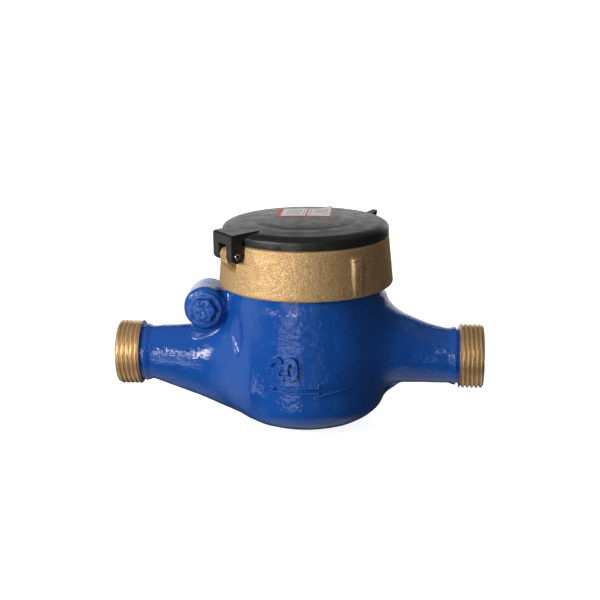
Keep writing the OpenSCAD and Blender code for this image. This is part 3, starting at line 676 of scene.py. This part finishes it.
ink, white, grey = (0.62, 0.045, 0.03, 1), (0.84, 0.83, 0.81, 1), (0.62, 0.60, 0.60, 1)
dark_ink = (0.5, 0.03, 0.02, 1)
FIELDS = [(0.09, 0.985, 0.06, 0.97, white), (0.22, 0.45, 0.24, 0.80, grey), (0.19, 0.20, 0.22, 0.84, ink),
          (0.49, 0.505, 0.16, 0.86, ink), (0.54, 0.57, 0.06, 0.95, ink), (0.61, 0.625, 0.16, 0.86, ink),
          (0.67, 0.89, 0.34, 0.80, grey), (0.91, 0.92, 0.24, 0.86, ink)]
on_paper = place(paper_tree, "TexCoord").outputs["Object"]
shade = place(paper_tree, "TexNoise", {"Vector": on_paper, "Scale": 500.0}).outputs["Fac"]
colour = mix_colour(paper_tree, math_node(paper_tree, "MULTIPLY", shade, 0.3), ink, dark_ink)
for *box, tint in FIELDS:
    colour = mix_colour(paper_tree, field(*box), colour, tint)
paper_tree.links.new(colour, paper_shader.inputs["Base Color"])
fibre = place(paper_tree, "Bump", {"Height": shade, "Distance": 0.02 * MM})
paper_tree.links.new(fibre.outputs["Normal"], paper_shader.inputs["Normal"])
label.data.materials.append(paper)
smooth_shaded(label, 40)
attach(label, "lid")


# Floor, lights and camera
# A plain pale floor in a dim room with soft pale panels round it. A window lamp at the front left is the key,
# two weaker lamps fill the front and one the back. The camera was fitted to the thread ends and the lid rim.
bpy.ops.object.select_all(action="DESELECT")
bpy.ops.mesh.primitive_plane_add(size=40)
floor = bpy.context.object
floor.name = "floor"
pale = bpy.data.materials.new("pale_floor")
pale.use_nodes = True
pale_shader = pale.node_tree.nodes["Principled BSDF"]
pale_shader.inputs["Base Color"].default_value = (0.55, 0.55, 0.55, 1)
pale_shader.inputs["Roughness"].default_value = 0.9
pale_shader.inputs["Emission Color"].default_value = (1, 1, 1, 1)
pale_shader.inputs["Emission Strength"].default_value = 0.88
floor.data.materials.append(pale)
floor.visible_glossy = False
floor.visible_diffuse = False

bpy.context.scene.view_settings.view_transform = "Standard"
world = bpy.data.worlds.new("room")
bpy.context.scene.world = world
world.use_nodes = True
room_tree = world.node_tree
look = place(room_tree, "SeparateXYZ", {0: place(room_tree, "TexCoord").outputs["Generated"]}).outputs
ahead = math_node(room_tree, "MULTIPLY", look["Y"], -1.0)
round_room = place(room_tree, "Math", {0: look["X"], 1: ahead}, operation="ARCTAN2").outputs[0]
height = place(room_tree, "Math", {0: look["Z"]}, operation="ARCSINE").outputs[0]


def between(value, low, high, soft):
    """1 between two angles in degrees and 0 outside them, with edges this soft."""
    edges = [place(room_tree, "MapRange", {0: value, 1: math.radians(a), 2: math.radians(b)},
                   interpolation_type="SMOOTHSTEP").outputs[0]
             for a, b in ((low - soft, low + soft), (high + soft, high - soft))]
    return math_node(room_tree, "MULTIPLY", *edges)


# Each panel: left, right, lowest and highest angle, softness of its edges, strength
PANELS = [(-205, -148, -10, 20, 6, 1.3), (148, 205, -10, 20, 6, 1.15), (-205, 205, 45, 100, 10, 0.2),
          (-125, -66, -40, 20, 14, 0.55), (-205, 205, -100, -55, 12, 0.5), (-32, -17, -15.5, -9, 1.0, 5),
          (-70, -22, 4, 34, 6, 0.5), (-70, 70, 15, 70, 12, 0.05), (-13, -11.5, -20, 12, 0.4, 14),
          (14.6, 15.2, -19, 4, 0.3, 14)]
brightness = 0.05
for left, right, low, high, soft, strength in PANELS:
    across, upright = between(round_room, left, right, soft), between(height, low, high, soft)
    panel = math_node(room_tree, "MULTIPLY", across, upright)
    brightness = math_node(room_tree, "ADD", brightness, math_node(room_tree, "MULTIPLY", panel, strength))
seen = place(room_tree, "LightPath").outputs["Is Camera Ray"]
brightness = place(room_tree, "Mix", {0: seen, 2: brightness, 3: 1.0}).outputs[0]
room_tree.links.new(brightness, room_tree.nodes["Background"].inputs["Strength"])
room_tree.nodes["Background"].inputs["Color"].default_value = (1, 1, 1, 1)

TARGET = Vector(((INLET_X + OUTLET_X) / 2, 0, PIPE_Z + 12)) * MM
CAMERA_AZ, CAMERA_EL, CAMERA_ROLL = math.radians(4.3), math.radians(16.77), math.radians(-0.56)
CAMERA_FAR = 0.645


def towards(azimuth, elevation):
    """Unit vector from the object to a place round it, 0 in front and 90 on the right."""
    return Vector((math.sin(azimuth) * math.cos(elevation), -math.cos(azimuth) * math.cos(elevation),
                   math.sin(elevation)))


def soft_light(name, azimuth, elevation, far, wide, tall, watts):
    """A rectangular light that faces the object."""
    lamp = bpy.data.lights.new(name, "AREA")
    lamp.shape, lamp.size, lamp.size_y, lamp.energy = "RECTANGLE", wide, tall, watts
    holder = bpy.data.objects.new(name, lamp)
    bpy.context.scene.collection.objects.link(holder)
    facing = towards(math.radians(azimuth), math.radians(elevation))
    holder.location = TARGET + facing * far
    holder.rotation_mode = "QUATERNION"
    holder.rotation_quaternion = (-facing).to_track_quat("-Z", "Y")
    holder.visible_camera = False
    return holder


soft_light("window", -46, 18, 0.44, 0.17, 0.06, 1.08)
soft_light("window_lamp", -16, 14, 1.15, 0.26, 0.05, 1.5)
soft_light("right_strip", 16, 30, 1.1, 0.10, 0.10, 0.4)
soft_light("back_fill", 165, 35, 0.9, 0.6, 0.6, 3).visible_glossy = False

back = towards(CAMERA_AZ, CAMERA_EL)
right = Vector((math.cos(CAMERA_AZ), math.sin(CAMERA_AZ), 0))
up = back.cross(right)
right, up = (math.cos(CAMERA_ROLL) * right + math.sin(CAMERA_ROLL) * up,
             -math.sin(CAMERA_ROLL) * right + math.cos(CAMERA_ROLL) * up)
camera = bpy.data.objects.new("camera", bpy.data.cameras.new("camera"))
bpy.context.scene.collection.objects.link(camera)
turned = Matrix((right, up, back)).transposed().to_4x4()
camera.matrix_world = Matrix.Translation(TARGET + back * CAMERA_FAR) @ turned
camera.data.sensor_width = 36
camera.data.lens = 74.23
camera.data.shift_x, camera.data.shift_y = 0.0003, 0.0526
camera.data.clip_start, camera.data.clip_end = 0.01, 20
bpy.context.scene.camera = camera
